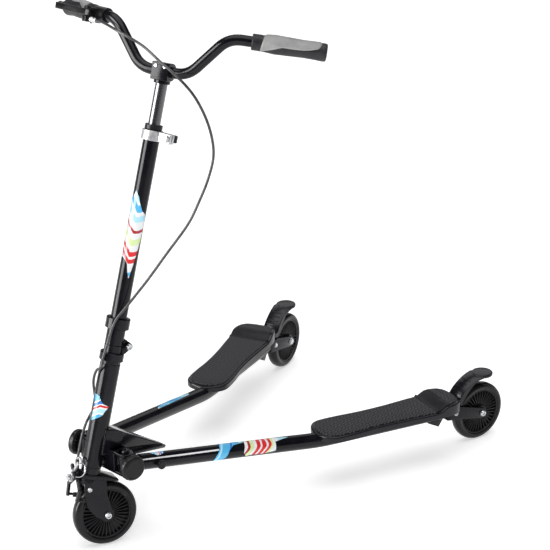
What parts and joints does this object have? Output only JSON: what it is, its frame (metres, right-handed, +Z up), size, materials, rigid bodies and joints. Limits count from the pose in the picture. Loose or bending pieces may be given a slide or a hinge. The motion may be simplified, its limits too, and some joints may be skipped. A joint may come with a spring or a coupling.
{
  "type": "three wheel kids scooter",
  "caption": "Three-wheeled kids scooter: a steered front wheel, two trailing arms that spread, each with a footboard, wheel and press-down fender brake, and a folding column with a hand brake.",
  "frame": {"origin": "middle of the footprint, on the floor under the wheels", "axes": "+Z up, +Y towards the rear wheels, +X to the side seen nearer in the picture; the rider faces -Y"},
  "size_m": [0.6094, 0.9612, 0.9739],
  "materials": {
    "black_paint": "gloss black powder coat on steel tube and plate",
    "black_plastic": "black moulded nylon, satin",
    "black_rubber": "dark soft rubber, fine texture",
    "grey_rubber": "light grey soft pad",
    "tyre": "black cast polyurethane, smooth",
    "bright_steel": "zinc plated steel",
    "cast_alloy": "satin cast alloy",
    "cable_black": "black sleeved cable"
  },
  "bodies": {
    "frame": {"head_tube": "black_paint", "lower_headset_bearing": "bright_steel", "upper_headset_bearing": "black_plastic", "neck_box": "black_paint", "arm_pivot_bolt_left": "black_paint", "arm_pivot_bolt_right": "black_paint"},
    "steering": {"fork": "black_paint", "front_axle": "bright_steel", "fork_bolt": "bright_steel", "caliper_bolt": "bright_steel", "fold_base": "black_paint", "fold_pin": "bright_steel"},
    "front_wheel": {"front_tyre": "tyre", "front_hub": "black_plastic", "front_wheel_bearings": "bright_steel"},
    "caliper_left": {"caliper_arm_left": "black_paint", "brake_pad_left": "black_rubber"},
    "caliper_right": {"caliper_arm_right": "black_paint", "brake_pad_right": "black_rubber"},
    "column": {"lower_tube": "black_paint", "tube_bush": "black_plastic", "seat_collar": "cast_alloy", "collar_bolt": "bright_steel", "brake_cable": "cable_black"},
    "collar_lever": {"collar_lever": "black_paint"},
    "sliding_tube": {"upper_tube": "black_paint"},
    "bar": {"bar_clamp": "black_paint", "handlebar": "black_paint", "grip_sleeve_left": "black_rubber", "grip_sleeve_right": "black_rubber", "palm_pad_left": "grey_rubber", "palm_pad_right": "grey_rubber", "brake_perch": "black_paint", "lever_pin": "bright_steel", "cable_adjuster": "bright_steel"},
    "brake_lever": {"brake_lever": "black_paint"},
    "arm_left": {"arm_knuckle_left": "black_paint", "arm_tube_left": "black_paint", "footboard_left": "black_plastic", "foot_grip_left": "black_rubber", "rear_axle_left": "bright_steel", "fender_pin_left": "bright_steel"},
    "knob_left": {"arm_knob_left": "black_plastic"},
    "lock_left": {"lock_pin_left": "black_plastic"},
    "wheel_left": {"rear_left_tyre": "tyre", "rear_left_hub": "black_plastic", "rear_left_wheel_bearings": "bright_steel"},
    "fender_left": {"fender_brake_left": "black_plastic"},
    "arm_right": {"arm_knuckle_right": "black_paint", "arm_tube_right": "black_paint", "footboard_right": "black_plastic", "foot_grip_right": "black_rubber", "rear_axle_right": "bright_steel", "fender_pin_right": "bright_steel"},
    "knob_right": {"arm_knob_right": "black_plastic"},
    "lock_right": {"lock_pin_right": "black_plastic"},
    "wheel_right": {"rear_right_tyre": "tyre", "rear_right_hub": "black_plastic", "rear_right_wheel_bearings": "bright_steel"},
    "fender_right": {"fender_brake_right": "black_plastic"}
  },
  "joints": [
    {"name": "steering", "type": "hinge", "parent": "frame", "child": "steering", "pos_m": [0.03929, -0.40517, 0.2548], "axis": [0, 0.2706, 0.9627], "range_deg": [-24.7, 65.3]},
    {"name": "column_fold", "type": "hinge", "parent": "steering", "child": "column", "pos_m": [0.04831, -0.34489, 0.37913], "axis": [-0.9379, 0.334, -0.0939], "range_deg": [0, 90]},
    {"name": "column_slide", "type": "slide", "parent": "column", "child": "sliding_tube", "axis": [0, 0.2706, 0.9627], "range_m": [-0.072, 0.08], "deforming": ["brake_cable"]},
    {"name": "collar_lever", "type": "hinge", "parent": "column", "child": "collar_lever", "pos_m": [0.06922, -0.23913, 0.75659], "axis": [0, -0.2706, -0.9627], "range_deg": [0, 110]},
    {"name": "bar_turn", "type": "hinge", "parent": "sliding_tube", "child": "bar", "pos_m": [0.03929, -0.2309, 0.87477], "axis": [0, 0.2706, 0.9627], "range_deg": [-45, 45]},
    {"name": "brake_lever", "type": "hinge", "parent": "bar", "child": "brake_lever", "pos_m": [-0.1258, -0.26676, 0.96042], "axis": [0.0198, -0.2636, -0.9644], "range_deg": [0, 6], "stiffness_Nm_per_rad": 0.5, "springref_deg": -11.46},
    {"name": "caliper_left", "type": "hinge", "parent": "steering", "child": "caliper_left", "pos_m": [0.03929, -0.43859, 0.13591], "axis": [0.3469, 0.9029, -0.2538], "range_deg": [0, 1.5]},
    {"name": "caliper_right", "type": "hinge", "parent": "steering", "child": "caliper_right", "pos_m": [0.03929, -0.43859, 0.13591], "axis": [-0.3469, -0.9029, 0.2538], "range_deg": [0, 1.5]},
    {"name": "front_wheel", "type": "hinge", "parent": "steering", "child": "front_wheel", "pos_m": [0.05432, -0.41701, 0.06251], "axis": [0.9379, -0.334, 0.0939], "continuous": true},
    {"name": "arm_left", "type": "hinge", "parent": "frame", "child": "arm_left", "pos_m": [0.09329, -0.39429, 0.17076], "axis": [0, 0, -1], "range_deg": [-10.3, 9.7]},
    {"name": "arm_right", "type": "hinge", "parent": "frame", "child": "arm_right", "pos_m": [-0.01471, -0.39429, 0.17076], "axis": [0, 0, 1], "range_deg": [-16.7, 3.3]},
    {"name": "knob_left", "type": "hinge", "parent": "arm_left", "child": "knob_left", "pos_m": [0.111, -0.3975, 0.17076], "axis": [0.9839, -0.1788, 0], "range_deg": [0, 360]},
    {"name": "lock_left", "type": "slide", "parent": "arm_left", "child": "lock_left", "axis": [0.9839, -0.1788, 0], "range_m": [0, 0.006], "stiffness_N_per_m": 200, "springref_m": -0.005},
    {"name": "wheel_left", "type": "hinge", "parent": "arm_left", "child": "wheel_left", "pos_m": [0.26647, 0.41885, 0.06226], "axis": [0.9839, -0.1788, 0], "continuous": true},
    {"name": "fender_left", "type": "hinge", "parent": "arm_left", "child": "fender_left", "pos_m": [0.25342, 0.34703, 0.08076], "axis": [-0.9839, 0.1788, 0], "range_deg": [0, 11], "stiffness_Nm_per_rad": 2, "springref_deg": -17.19},
    {"name": "knob_right", "type": "hinge", "parent": "arm_right", "child": "knob_right", "pos_m": [-0.03195, -0.39946, 0.17076], "axis": [-0.9578, -0.2874, 0], "range_deg": [0, 360]},
    {"name": "lock_right", "type": "slide", "parent": "arm_right", "child": "lock_right", "axis": [-0.9578, -0.2874, 0], "range_m": [0, 0.006], "stiffness_N_per_m": 200, "springref_m": -0.005},
    {"name": "wheel_right", "type": "hinge", "parent": "arm_right", "child": "wheel_right", "pos_m": [-0.27745, 0.39448, 0.06226], "axis": [0.9578, 0.2874, 0], "continuous": true},
    {"name": "fender_right", "type": "hinge", "parent": "arm_right", "child": "fender_right", "pos_m": [-0.25648, 0.32456, 0.08076], "axis": [-0.9578, -0.2874, 0], "range_deg": [0, 11], "stiffness_Nm_per_rad": 2, "springref_deg": -17.19}
  ],
  "couplings": [
    {"joint": "caliper_left", "follows": "brake_lever", "ratio": 0.25},
    {"joint": "caliper_right", "follows": "brake_lever", "ratio": 0.25}
  ]
}
